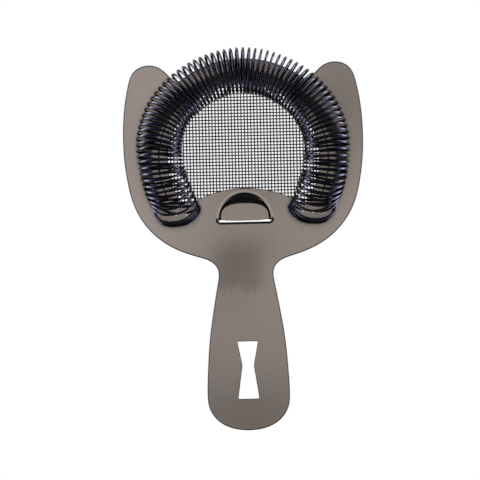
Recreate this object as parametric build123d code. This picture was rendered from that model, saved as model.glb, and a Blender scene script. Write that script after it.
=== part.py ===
from build123d import *
import math
import os

# Hawthorne strainer for a cocktail tin or mixing glass.
# Frame: the flat head lies in the XY plane, the coil spring stands on its +Z face, the handle runs
# towards -Y and +X is to the right. The origin is the centre of the round opening, on the face
# of the head that carries the spring. "Behind" means towards -Z. Lengths are in mm.

# ---- plate ----
SHEET_T = 1.2            # sheet thickness of the stamped plate
FRONT_ARC_R = 39.9       # edge of the head between the two ears (the pouring gate)
NOTCH_AIM = (25.6, 30.6) # the right ear meets that edge in this direction from the origin
NOTCH_R = 2.2            # fillet where an ear meets that edge
EAR_TANGENT = (0.69, 0.72)   # direction in which the half outline starts

BEND_Y = -30.0           # the handle starts to bend here
BEND_LEN = 22.0          # length of the bend along the handle
BEND_DEG = 5.0           # the handle leaves the plane of the head by this angle, away from the spring
BLANK_FRONT_Y = 60.0     # the sheet before trimming: front end, half width,
BLANK_HALF_W = 60
BLANK_HANDLE_LEN = 90.0  # and length measured along the handle from BEND_Y

# half outline, from the inner edge of the right ear round to the end of the handle (x, y)
HALF_OUTLINE = [
    (27.2, 32.2), (29.0, 34.1), (31.0, 35.95), (33.2, 37.25), (35.6, 37.85), (38.0, 37.75),
    (40.2, 37.05), (42.1, 35.75), (43.4, 34.0), (44.76, 30.0), (45.96, 24.0), (46.85, 16.0),
    (47.09, 9.5), (46.72, 0.0), (45.65, -8.0), (43.72, -16.0), (39.65, -24.0), (34.1, -30.0),
    (28.5, -33.8), (23.4, -36.1), (17.9, -37.9), (14.2, -39.3), (12.1, -41.0), (11.0, -43.0),
    (10.78, -45.2), (11.18, -48.0), (12.3, -54.0), (13.34, -60.0), (14.3, -66.0), (15.06, -72.0),
    (15.7, -80.0), (16.15, -88.0), (16.22, -92.5), (15.88, -96.0), (14.2, -100.0),
    (10.9, -103.3), (6.0, -105.5), (0.0, -106.25),
]

OPENING_R = 29.6         # round opening under the coil
LIP_ARC_R = 42.3         # convex lower lip of the opening
LIP_TOP_Y = -11.0        # highest point of that lip
LIP_CY = LIP_TOP_Y - LIP_ARC_R
SEAT_R = 33.3            # pressed seat round the opening
SEAT_RISE = 0.4          # the seat stands this far above the head
SEAT_END_DEG = -30.0     # the seat stops here on both sides
SEAT_SINK = 0.2          # overlap of the seat with the sheet
SEAT_INSET = 1           # the seat starts this far inside the opening, which trims it
SECTOR_REACH = 80        # size of the sector that trims the seat and the ring, beyond the head

# ---- finger louvre ----
TAB_R = 10.0             # half-round louvre
TAB_CY = -22.9
TAB_DEPTH = 2.6          # its floor lies this far behind the spring face
TAB_EDGE_Y = -23.5       # cut edge of the floor
TAB_GAP = 0.9            # gap between that edge and the head
TAB_WALL = 0.95          # side wall thickness of the louvre
TAB_RIM_STEP = 0.05      # rim height of bulge and hollow, above and below TAB_R
TAB_FLOOR_HALF_W = TAB_R - 0.25
TAB_FLOOR_OUT_H = 6.75   # height of the floor's outline, outside and inside
TAB_FLOOR_IN_H = 6.2
TAB_FLOOR_POWER = 2.6    # squareness of the floor's outline, 2 being an ellipse
TAB_STEPS = 28           # straight pieces in the rounded part of the outline
TAB_HOLE_R = 0.42        # small hole at each end of the cut
TAB_HOLE_X = 10.2
TAB_HOLE_Y = TAB_EDGE_Y - 0.05

# ---- hourglass hanging slot: half width and y at its top, waist and bottom ----
SLOT_TOP = (4.02, -71.2)
SLOT_WAIST = (2.22, -80.6)
SLOT_BOTTOM = (4.1, -93.8)
SLOT_CORNER_R = 0.35

# ---- mesh and ring ----
MESH_PITCH = 1.27        # 20 wires to the inch
MESH_WIRE_R = 0.205
MESH_R = 31.4            # mesh disc radius, tucked behind the rim of the opening
MESH_EDGE = 0.4          # no wire runs this close to the disc's edge
MESH_LIP = 0.7           # how far the mesh runs behind the lower lip
MESH_RECESS = 0.4        # coined recess for the mesh in the back of the plate
RECESS_SIDE_GAP = 0.2    # recess beyond the mesh, round the disc and along the lip
RECESS_LIP_GAP = 0.15
MESH_GAP = 0.02          # air between plate, warp, weft and ring
WARP_Z = -SHEET_T + MESH_RECESS - MESH_GAP - MESH_WIRE_R
WEFT_Z = WARP_Z - 2 * MESH_WIRE_R - MESH_GAP

RING_T = 0.6             # retaining ring behind the mesh
RING_IN_R = 29.8
RING_OUT_R = 33.6
RING_FOOT_IN_R = MESH_R + 0.35
RING_FOOT_GAP = 0.01     # air between the ring's foot and the plate
RING_END_DEG = SEAT_END_DEG + 3

# ---- coil spring ----
WIRE_R = 0.45            # spring wire
COIL_R = 8.25            # radius of a turn, to the wire's centre
COIL_CY = 0.86           # the coil bends round the point (0, COIL_CY)
COIL_START_DEG = 217.3   # centre of the first turn, seen from +Z
COIL_END_DEG = 180 - COIL_START_DEG
COIL_TURNS = 79          # whole turns between the two end loops
COIL_FOOT = 0.05         # air gap between the turns and the seat
FOOT_Z = SEAT_RISE + COIL_FOOT + WIRE_R   # wire centre where a turn stands on the seat
CREST_Z = FOOT_Z + 2 * COIL_R             # wire centre at the top of an upright turn
END_CREST_Z = 9.6        # the same for an end loop, which leans over

CREST_T = 0.25           # turn fraction at which a turn is at its crest
WIRE_START_T = 0.137     # ends of the wire, in turns
WIRE_END_T = COIL_TURNS + 0.52
STEPS_PER_TURN = 24
END_TURNS = 20           # turns at each end over which the pitch settles
END_SQUEEZE = 0.42       # share of the normal pitch that the end loops lose
SQUEEZE_TURNS = 1.3      # turns over which that loss fades

CREST_LEAN = 0.79        # shift of an end loop's crest away from the coil's middle, in COIL_R
CREST_LEAN_TURNS = 2.4
FOOT_LEAN = 0.36         # shift of its foot, likewise
FOOT_LEAN_TURNS = 0.9
LEAN_POWER = 2.2
LAG_DEG = 33             # the end turns swing back from the radial direction by about this much,
LAG_FROM_DEG = 95        # from this angle off the coil's middle,
LAG_SPAN_DEG = 32        # over this many degrees
LAG_POWER = 2.2

HOLE_R = 0.72            # anchor holes in the head
HOLE_OUT, HOLE_IN = 0.7, -3.2   # the two anchor holes of an end loop, along its diameter
ANCHOR_TURNS = (0, COIL_TURNS - 1)
STITCH_BEND_R = 0.85     # bend radius of the wire where it passes through the head
STITCH_RUN = 2.2         # the stitch joins the turn this far beyond each hole
STITCH_TOP_Z = FOOT_Z + 0.3
STITCH_LOW_Z = -SHEET_T - 0.05 - WIRE_R

# outer envelope of the coil (angle from +X, radius from the coil's centre)
ENVELOPE = [
    (-60, 41.4), (-45, 41.4), (-37, 41.4), (-24, 41.4), (-16, 41.35), (-8, 41.45), (0, 41.9),
    (12, 42.6), (24, 42.9), (36, 43.0), (48, 42.9), (56, 42.8), (68, 42.8), (80, 43.0), (90, 43.1),
    (100, 43.0), (112, 42.9), (124, 42.9), (136, 43.0), (148, 43.2), (160, 43.0), (168, 42.8),
    (180, 42.0), (188, 41.5), (196, 41.35), (204, 41.4), (217, 41.4), (225, 41.4), (240, 41.4),
]


# ---- coil path ----
def envelope(deg):
    """Outer radius of the coil at an angle, eased between the stations."""
    for (deg0, r0), (deg1, r1) in zip(ENVELOPE, ENVELOPE[1:]):
        if deg0 <= deg <= deg1:
            f = (deg - deg0) / (deg1 - deg0)
            return r0 + (r1 - r0) * f * f * (3 - 2 * f)


def travelled(turns):
    """Normal pitches used up this many turns from an end: the end loops sit close together."""
    steps = 40
    total = 0.0
    for i in range(steps):
        middle = (i + 0.5) / steps * turns
        total += (1 - END_SQUEEZE * math.exp(-((middle / SQUEEZE_TURNS) ** 2))) * turns / steps
    return total


TOTAL_TRAVEL = travelled(COIL_TURNS)


def travel_at(t):
    """Normal pitches between the crest of the left end loop and turn t."""
    left = t - CREST_T
    right = COIL_TURNS - left
    if left < 0:
        return left * (1 - END_SQUEEZE)
    if right < 0:
        return TOTAL_TRAVEL - right * (1 - END_SQUEEZE)
    if left < END_TURNS:
        return travelled(left)
    if right < END_TURNS:
        return TOTAL_TRAVEL - travelled(right)
    end_travel = travelled(END_TURNS)
    share = (left - END_TURNS) / (COIL_TURNS - 2 * END_TURNS)
    return end_travel + (TOTAL_TRAVEL - 2 * end_travel) * share


def coil_point(t):
    """Centre of the wire after t turns from the left end loop, at whose crest t = CREST_T."""
    deg = COIL_START_DEG + (COIL_END_DEG - COIL_START_DEG) * travel_at(t) / TOTAL_TRAVEL
    left = max(t - CREST_T, 0.0)
    right = max(COIL_TURNS + CREST_T - t, 0.0)
    side = 1 if left < right else -1    # 1 on the left half of the coil
    from_end = min(left, right)

    # centre of the turn, and the direction of its diameter in plan
    centre_r = envelope(deg) - COIL_R - WIRE_R
    centre_x = centre_r * math.cos(math.radians(deg))
    centre_y = COIL_CY + centre_r * math.sin(math.radians(deg))
    past = max(side * (deg - 90) - LAG_FROM_DEG, 0)
    turn_dir = math.radians(deg - side * LAG_DEG * (past / LAG_SPAN_DEG) ** LAG_POWER)
    out_x, out_y = math.cos(turn_dir), math.sin(turn_dir)
    # along the coil, away from its middle
    away_x, away_y = -side * out_y, side * out_x

    lean = 1 / (1 + (from_end / CREST_LEAN_TURNS) ** LEAN_POWER)
    crest_shift = CREST_LEAN * lean
    foot_shift = FOOT_LEAN * math.exp(-((from_end / FOOT_LEAN_TURNS) ** 2))
    crest_z = CREST_Z - (CREST_Z - END_CREST_Z) * lean

    sin_t, cos_t = math.sin(2 * math.pi * t), math.cos(2 * math.pi * t)
    across = COIL_R * cos_t
    shift = COIL_R * (
        (crest_shift - foot_shift) / 2 * sin_t + (crest_shift + foot_shift) / 2 * sin_t * sin_t)
    z = (crest_z + FOOT_Z) / 2 + (crest_z - FOOT_Z) / 2 * sin_t
    return (centre_x + across * out_x + shift * away_x,
            centre_y + across * out_y + shift * away_y, z)


def foot_phase(across):
    """Turn fraction on the seat side of a loop where the wire is this far from its centre."""
    return (2 * math.pi - math.acos(across / COIL_R)) / (2 * math.pi)


def stitch(turn):
    """Seat side of an end loop: through the head at HOLE_IN, behind it, and out at HOLE_OUT."""
    r = STITCH_BEND_R
    top, low = STITCH_TOP_Z, STITCH_LOW_Z
    mid = r * (1 - math.sin(math.radians(45)))   # middle of a bend, from its two tangents
    passage = [(-r, top), (-mid, top - mid), (0, top - r), (0, low + r), (mid, low + mid), (r, low)]
    stations = [(HOLE_IN + offset, z) for offset, z in passage]
    stations.append(((HOLE_IN + HOLE_OUT) / 2, low))
    stations += [(HOLE_OUT - offset, z) for offset, z in reversed(passage)]
    points = []
    for across, z in stations:
        x, y, _ = coil_point(turn + foot_phase(across))
        points.append((x, y, z))
    return points


def walk(t0, t1):
    """Evenly spaced points of the coil between two turn counts."""
    n = max(2, round((t1 - t0) * STEPS_PER_TURN))
    return [coil_point(t0 + (t1 - t0) * i / n) for i in range(n + 1)]


def coil_path():
    """Groups of points, one per stretch of wire; neighbouring groups share their end point."""
    (left_in, left_out), (right_in, right_out) = [
        (turn + foot_phase(HOLE_IN - STITCH_RUN), turn + foot_phase(HOLE_OUT + STITCH_RUN))
        for turn in ANCHOR_TURNS
    ]
    groups = [walk(WIRE_START_T, left_in)]
    groups.append([groups[-1][-1]] + stitch(ANCHOR_TURNS[0]) + [coil_point(left_out)])
    t = left_out
    while t < right_in - 1.5:
        groups.append(walk(t, t + 1))
        t += 1
    groups.append(walk(t, right_in))
    groups.append([groups[-1][-1]] + stitch(ANCHOR_TURNS[1]) + [coil_point(right_out)])
    groups.append(walk(right_out, WIRE_END_T))
    return groups


def make_coil():
    """One length of round wire: lofted turn by turn through circles, then sewn into one solid."""
    groups = coil_path()
    path, marks = [Vector(*groups[0][0])], [0]
    for group in groups:
        path += [Vector(*p) for p in group[1:]]
        marks.append(len(path) - 1)
    last = len(path) - 1

    # circles square to the path; their x direction is carried along so that they do not twist
    side = (path[1] - path[0]).cross(Vector(0, 0, 1))
    circles = []
    for i, point in enumerate(path):
        along = (path[min(i + 1, last)] - path[max(i - 1, 0)]).normalized()
        side = (side - along * side.dot(along)).normalized()
        plane = Plane(origin=point, x_dir=side, z_dir=along)
        circles.append(Wire([Edge.make_circle(WIRE_R, plane)]))

    # keep the walls of every stretch, and only the flat ends at the two ends of the wire
    walls, caps = [], []
    for first, final in zip(marks, marks[1:]):
        faces = Solid.make_loft(circles[first:final + 1], ruled=True).faces()
        flat = [f for f in faces if f.geom_type == GeomType.PLANE]
        walls += [f for f in faces if f.geom_type != GeomType.PLANE]
        if first == 0:
            caps.append(min(flat, key=lambda f: (f.center() - path[0]).length))
        if final == last:
            caps.append(min(flat, key=lambda f: (f.center() - path[-1]).length))
    return Solid(Shell(walls + caps))


# ---- plate ----
def profile_points(depth):
    """(y, z) at this depth in the sheet: front, bend start, middle and end, handle end."""
    bend = math.radians(BEND_DEG)
    bend_r = BEND_LEN / bend

    def on_bend(angle):
        return (BEND_Y - (bend_r - depth) * math.sin(angle),
                -bend_r + (bend_r - depth) * math.cos(angle))

    y, z = on_bend(bend)
    straight = BLANK_HANDLE_LEN - BEND_LEN
    tip = (y - straight * math.cos(bend), z - straight * math.sin(bend))
    return (BLANK_FRONT_Y, -depth), (BEND_Y, -depth), on_bend(bend / 2), (y, z), tip


def side_profile():
    """Section of the bent sheet in the YZ plane."""
    front, start, middle, end, tip = profile_points(0)
    back_front, back_start, back_middle, back_end, back_tip = profile_points(SHEET_T)
    with BuildSketch(Plane.YZ) as sk:
        with BuildLine():
            Line(front, start)
            ThreePointArc(start, middle, end)
            Line(end, tip)
            Line(tip, back_tip)
            Line(back_tip, back_end)
            ThreePointArc(back_end, back_middle, back_start)
            Line(back_start, back_front)
            Line(back_front, front)
        make_face()
    return sk.sketch


def outline_face():
    scale = FRONT_ARC_R / math.hypot(*NOTCH_AIM)
    notch_x, notch_y = NOTCH_AIM[0] * scale, NOTCH_AIM[1] * scale
    ear_x, ear_y = HALF_OUTLINE[0]
    with BuildSketch() as sk:
        with BuildLine():
            right = Spline(*HALF_OUTLINE, tangents=[EAR_TANGENT, (-1, 0)])
            add(mirror(right, about=Plane.YZ, mode=Mode.PRIVATE))
            Line((ear_x, ear_y), (notch_x, notch_y))
            ThreePointArc((notch_x, notch_y), (0, FRONT_ARC_R), (-notch_x, notch_y))
            Line((-notch_x, notch_y), (-ear_x, ear_y))
        make_face()
        corners = [v for v in sk.vertices()
                   if abs(abs(v.X) - notch_x) < 1e-3 and abs(v.Y - notch_y) < 1e-3]
        fillet(corners, NOTCH_R)
    return sk.sketch


def lens_face(r, lip_drop):
    """Circle of radius r cut off below by the convex lip, lowered by lip_drop."""
    return Circle(r) - Pos(0, LIP_CY) * Circle(LIP_ARC_R - lip_drop)


def upper_sector(end_deg):
    """Everything above the two rays from the origin at end_deg and its mirror image."""
    x = SECTOR_REACH * math.cos(math.radians(end_deg))
    y = SECTOR_REACH * math.sin(math.radians(end_deg))
    top = SECTOR_REACH
    return Polygon((0, 0), (x, y), (top, top), (-top, top), (-x, y), align=None)


def tab_outline(half_w, height, edge_y, power=2.0):
    """D shape: a half-round above TAB_CY, closed by a straight edge at edge_y."""
    points = []
    for i in range(TAB_STEPS + 1):
        angle = math.pi * i / TAB_STEPS
        c, s = math.cos(angle), math.sin(angle)
        x = half_w * math.copysign(abs(c) ** (2 / power), c)
        points.append((x, TAB_CY + height * s ** (2 / power)))
    return make_face(Polyline(*points, (-half_w, edge_y), (half_w, edge_y), points[0]))


def add_louvre(plate):
    """The floor is pressed away from the spring and cut free along its straight edge."""
    bulge = loft([
        Pos(0, 0, -SHEET_T) * tab_outline(TAB_R + TAB_WALL, TAB_R + TAB_RIM_STEP, TAB_EDGE_Y),
        Pos(0, 0, -SHEET_T - TAB_DEPTH) * tab_outline(
            TAB_FLOOR_HALF_W + TAB_WALL, TAB_FLOOR_OUT_H, TAB_EDGE_Y, TAB_FLOOR_POWER),
    ], ruled=True)
    gap_y = TAB_EDGE_Y - TAB_GAP
    hollow = loft([
        tab_outline(TAB_R, TAB_R - TAB_RIM_STEP, gap_y),
        Pos(0, 0, -TAB_DEPTH) * tab_outline(
            TAB_FLOOR_HALF_W, TAB_FLOOR_IN_H, gap_y, TAB_FLOOR_POWER),
    ], ruled=True)
    plate = plate + bulge
    plate = plate - hollow
    for side in (-1, 1):
        hole = extrude(Circle(TAB_HOLE_R), SHEET_T)
        plate = plate - Pos(side * TAB_HOLE_X, TAB_HOLE_Y, -SHEET_T) * hole
    return plate


def slot_face():
    right = [SLOT_TOP, SLOT_WAIST, SLOT_BOTTOM]
    left = [(-x, y) for x, y in reversed(right)]
    slot = make_face(Polyline(*right, *left, SLOT_TOP))
    corners = [v for v in slot.vertices() if abs(v.Y - SLOT_WAIST[1]) > 1]
    return fillet(corners, SLOT_CORNER_R)


def make_plate():
    blank = extrude(side_profile(), BLANK_HALF_W, both=True)
    plate = blank & (Pos(0, 0, -30) * extrude(outline_face(), 45))
    # pressed seat round the opening, with a coined recess for the mesh behind it
    seat_face = (Circle(SEAT_R) - Circle(OPENING_R - SEAT_INSET)) & upper_sector(SEAT_END_DEG)
    plate = plate + Pos(0, 0, -SEAT_SINK) * extrude(seat_face, SEAT_RISE + SEAT_SINK)
    recess_face = lens_face(MESH_R + RECESS_SIDE_GAP, MESH_LIP + RECESS_LIP_GAP)
    plate = plate - Pos(0, 0, -SHEET_T - 1) * extrude(recess_face, 1 + MESH_RECESS)
    plate = plate - Pos(0, 0, -5) * extrude(lens_face(OPENING_R, 0), 10)
    plate = add_louvre(plate)
    plate = plate - Pos(0, 0, -20) * extrude(slot_face(), 30)
    # anchor holes for the end loops
    for turn in ANCHOR_TURNS:
        for across in (HOLE_OUT, HOLE_IN):
            x, y, _ = coil_point(turn + foot_phase(across))
            plate = plate - Pos(x, y, -5) * extrude(Circle(HOLE_R), 10)
    return plate


# ---- mesh ----
def mesh_stations():
    """Positions of the wires across the disc, the same in both directions."""
    n = int(MESH_R / MESH_PITCH) + 1
    stations = [(k + 0.5) * MESH_PITCH for k in range(-n, n + 1)]
    return [s for s in stations if abs(s) < MESH_R - MESH_EDGE]


def mesh_wire(start, length, direction):
    return Solid.make_cylinder(MESH_WIRE_R, length, Plane(origin=start, z_dir=direction))


def make_warp():
    """Wires along Y, from the lower lip or the disc's edge to the top of the disc."""
    lip_r = LIP_ARC_R - MESH_LIP
    wires = []
    for x in mesh_stations():
        top = math.sqrt(MESH_R ** 2 - x * x)
        low = max(-top, LIP_CY + math.sqrt(lip_r ** 2 - x * x))
        wires.append(mesh_wire((x, low, WARP_Z), top - low, (0, 1, 0)))
    return wires


def make_weft():
    """Wires along X behind the warp, in two pieces where the lower lip interrupts them."""
    lip_r = LIP_ARC_R - MESH_LIP
    wires = []
    for y in mesh_stations():
        half = math.sqrt(MESH_R ** 2 - y * y)
        spans = [(-half, half)]
        if y < LIP_CY + lip_r:
            cut = math.sqrt(lip_r ** 2 - (y - LIP_CY) ** 2)
            spans = [(-half, -cut), (cut, half)] if cut < half else []
        for x0, x1 in spans:
            wires.append(mesh_wire((x0, y, WEFT_Z), x1 - x0, (1, 0, 0)))
    return wires


def make_ring():
    """C-shaped retaining ring behind the mesh, with a foot that reaches the back of the plate."""
    sector = upper_sector(RING_END_DEG)
    bottom = WEFT_Z - MESH_WIRE_R - MESH_GAP - RING_T
    flat_face = (Circle(RING_OUT_R) - Circle(RING_IN_R)) & sector
    foot_face = (Circle(RING_OUT_R) - Circle(RING_FOOT_IN_R)) & sector
    flat = Pos(0, 0, bottom) * extrude(flat_face, RING_T)
    foot = Pos(0, 0, bottom) * extrude(foot_face, -SHEET_T - RING_FOOT_GAP - bottom)
    return flat + foot


os.makedirs("parts", exist_ok=True)
export_step(make_plate(), "parts/strainer_plate.step")
export_step(Compound(make_warp()), "parts/mesh_warp_wires.step")
export_step(Compound(make_weft()), "parts/mesh_weft_wires.step")
export_step(make_ring(), "parts/mesh_ring.step")
export_step(make_coil(), "parts/coil_spring.step")
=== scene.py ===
"""A strainer: a flat sheet plate with a bent handle, a woven mesh in its round opening
and a coil spring stitched round the head.

The head is centred on the origin and the handle runs towards -Y. The upper face of the
flat sheet is at z = 0, the spring stands above it and the mesh lies underneath. X is the
axis of symmetry's normal, so left is -X. Sizes are in millimetres unless noted otherwise.
"""
import math

import bpy
import numpy as np
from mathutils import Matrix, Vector
from mathutils.geometry import delaunay_2d_cdt


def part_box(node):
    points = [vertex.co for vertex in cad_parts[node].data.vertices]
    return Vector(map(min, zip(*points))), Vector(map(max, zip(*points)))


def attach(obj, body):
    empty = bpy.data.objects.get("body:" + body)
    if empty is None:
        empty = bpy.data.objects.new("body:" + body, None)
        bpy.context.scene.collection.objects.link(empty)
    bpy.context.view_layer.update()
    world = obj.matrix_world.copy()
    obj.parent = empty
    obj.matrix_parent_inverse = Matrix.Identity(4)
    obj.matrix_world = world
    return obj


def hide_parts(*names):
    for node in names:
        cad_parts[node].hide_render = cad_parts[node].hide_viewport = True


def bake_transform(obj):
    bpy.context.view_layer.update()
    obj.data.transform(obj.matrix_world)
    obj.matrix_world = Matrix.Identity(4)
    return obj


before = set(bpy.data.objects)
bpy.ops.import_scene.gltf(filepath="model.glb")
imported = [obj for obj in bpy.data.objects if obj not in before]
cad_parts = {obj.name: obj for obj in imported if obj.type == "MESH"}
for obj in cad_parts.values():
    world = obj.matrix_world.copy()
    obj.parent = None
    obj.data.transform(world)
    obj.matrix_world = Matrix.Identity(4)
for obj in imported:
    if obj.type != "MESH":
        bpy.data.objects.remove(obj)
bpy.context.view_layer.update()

MM = 0.001

# ---------------------------------------------------------------- plate sizes
SHEET_T = 1.2
BEND_Y, BEND_LEN, BEND_DEG = -30.0, 22.0, 5.0

# Outline: an arc round the head, an eased corner, then a spline down the right-hand side.
HEAD_ARC_R = 39.9
CORNER = (25.6, 30.6)
CORNER_EASE = 2.02   # length eased off on each side of the corner
CORNER_PULL = 1.14   # Bezier handle length
OUTLINE_START_DIR, OUTLINE_END_DIR = (0.69, 0.72), (-1.0, 0.0)
OUTLINE_SPACING = 0.55
# x, y from the ear beside the head to the middle of the handle's end
HALF_OUTLINE = [
    (27.2, 32.2), (29.0, 34.1), (31.0, 35.95), (33.2, 37.25), (35.6, 37.85), (38.0, 37.75),
    (40.2, 37.05), (42.1, 35.75), (43.4, 34.0), (44.76, 30.0), (45.96, 24.0), (46.85, 16.0),
    (47.09, 9.5), (46.72, 0.0), (45.65, -8.0), (43.72, -16.0), (39.65, -24.0), (34.1, -30.0),
    (28.5, -33.8), (23.4, -36.1), (17.9, -37.9), (14.2, -39.3), (12.1, -41.0), (11.0, -43.0),
    (10.78, -45.2), (11.18, -48.0), (12.3, -54.0), (13.34, -60.0), (14.3, -66.0), (15.06, -72.0),
    (15.7, -80.0), (16.15, -88.0), (16.22, -92.5), (15.88, -96.0), (14.2, -100.0),
    (10.9, -103.3), (6.0, -105.5), (0.0, -106.25),
]

# Opening: a circle cut off by the lip, an arc that bulges up from the handle side.
OPENING_R, LIP_ARC_R, LIP_TOP_Y = 29.6, 42.3, -11.0
LIP_CY = LIP_TOP_Y - LIP_ARC_R

# Pressed seat, raised on the upper face; it ends at this angle below the X axis.
SEAT_R, SEAT_RISE, SEAT_END_DEG = 33.3, 0.4, -30.0
STEP_HALF = 0.1      # half width of a pressed step

# Mesh and the recess that holds it, both a little larger than the opening.
MESH_PITCH, MESH_WIRE_R, MESH_R = 1.27, 0.243, 31.4
MESH_LIP_R = LIP_ARC_R - 0.7
MESH_RECESS = 0.4
RECESS_R, RECESS_LIP_R = MESH_R + 0.2, MESH_LIP_R - 0.15

# Louvre: a D-shaped tab pressed down, open along its straight edge on the handle side.
TAB_R, TAB_CY, TAB_DEPTH, TAB_EDGE_Y, TAB_WALL = 10.0, -22.9, 2.6, -23.5, 0.95
TAB_CUT_Y = TAB_EDGE_Y - 0.08
TAB_CUT_BULGE = 0.14
SLIT_Y = -24.26      # edge of the sheet that faces the tab
RELIEF_X, RELIEF_Y, RELIEF_R = -10.2, TAB_EDGE_Y - 0.05, 0.36
RELIEF_START_DEG, RELIEF_SWEEP_DEG = 62, 236

# Slot in the handle: half width and y at its top, waist and bottom
SLOT = [(4.02, -71.2), (2.22, -80.6), (4.1, -93.8)]
SLOT_CORNER, SLOT_SPACING = 0.4, 0.5

# Rounding of the cut edges
OUTLINE_ROUND, OPENING_ROUND, SLOT_ROUND, HOLE_ROUND = 0.42, 0.22, 0.25, 0.15
SLIT_ROUND_W, SLIT_ROUND_H = 0.9, 0.55

# Material slots of the plate
PLATE_SLOT, EDGE_SLOT = 0, 1

# ---------------------------------------------------------------- coil sizes
WIRE_R, COIL_R, COIL_CY = 0.45, 8.25, 0.86
WIRE_SWELL = 0.03    # added to the wire's radius in the mesh
COIL_START_DEG, COIL_END_DEG, COIL_TURNS = 217.3, -37.3, 79
COIL_FOOT = 0.05     # gap between wire and seat
COIL_LOW_Z = SEAT_RISE + COIL_FOOT + WIRE_R
END_TOP_Z = 9.6      # top of the flattened end turns
WIRE_START, WIRE_END = 0.137, COIL_TURNS + 0.52   # in turns
TAIL_TURNS, TAIL_RATE = 0.25, 0.58   # length and advance of the tails
CLOSING, CLOSED_TURNS = 0.53, 2.2    # how much, and over how many turns, the ends close up
END_ZONE = 20        # turns at each end that follow the closing law
HOLE_OUT, HOLE_IN = 0.7, -3.2        # stitch holes, outward from the axis of the coil
HOLE_CLEARANCE = 0.045
STITCH_BEND_R = 0.85
STITCH_LEAD = 2.2    # stitch takes over this far from its holes
STITCH_SPACING = 0.45

# angle round the head (degrees), outer reach of the coil
ENVELOPE = [
    (-60, 41.4), (-45, 41.4), (-37, 41.4), (-24, 41.4), (-16, 41.35), (-8, 41.45), (0, 41.9),
    (12, 42.6), (24, 42.9), (36, 43.0), (48, 42.9), (56, 42.8), (68, 42.8), (80, 43.0), (90, 43.1),
    (100, 43.0), (112, 42.9), (124, 42.9), (136, 43.0), (148, 43.2), (160, 43.0), (168, 42.8),
    (180, 42.0), (188, 41.5), (196, 41.35), (204, 41.4), (217, 41.4), (225, 41.4), (240, 41.4),
]
# turns from the end, lean of a turn's upper half towards that end (share of COIL_R)
UPPER_LEAN = [
    (0, 0.79), (1, 0.80), (2, 0.82), (3, 0.62), (4, 0.56), (5, 0.50), (6, 0.43), (7, 0.36),
    (8, 0.29), (9, 0.21), (10, 0.12), (12, -0.04), (14, -0.20), (17, -0.31), (20, -0.29),
    (24, -0.24), (30, -0.13), (36, -0.06), (39.5, 0.0), (100, 0.0),
]
# turns from the end, degrees by which a turn is swung away from that end
TURN_LAG = [
    (0, 37.0), (1, 35.2), (2, 33.0), (3, 27.0), (4, 20.0), (5, 14.0), (6, 10.0), (8, 5.0),
    (11, 2.0), (15, 0.0), (100, 0.0),
]


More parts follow.
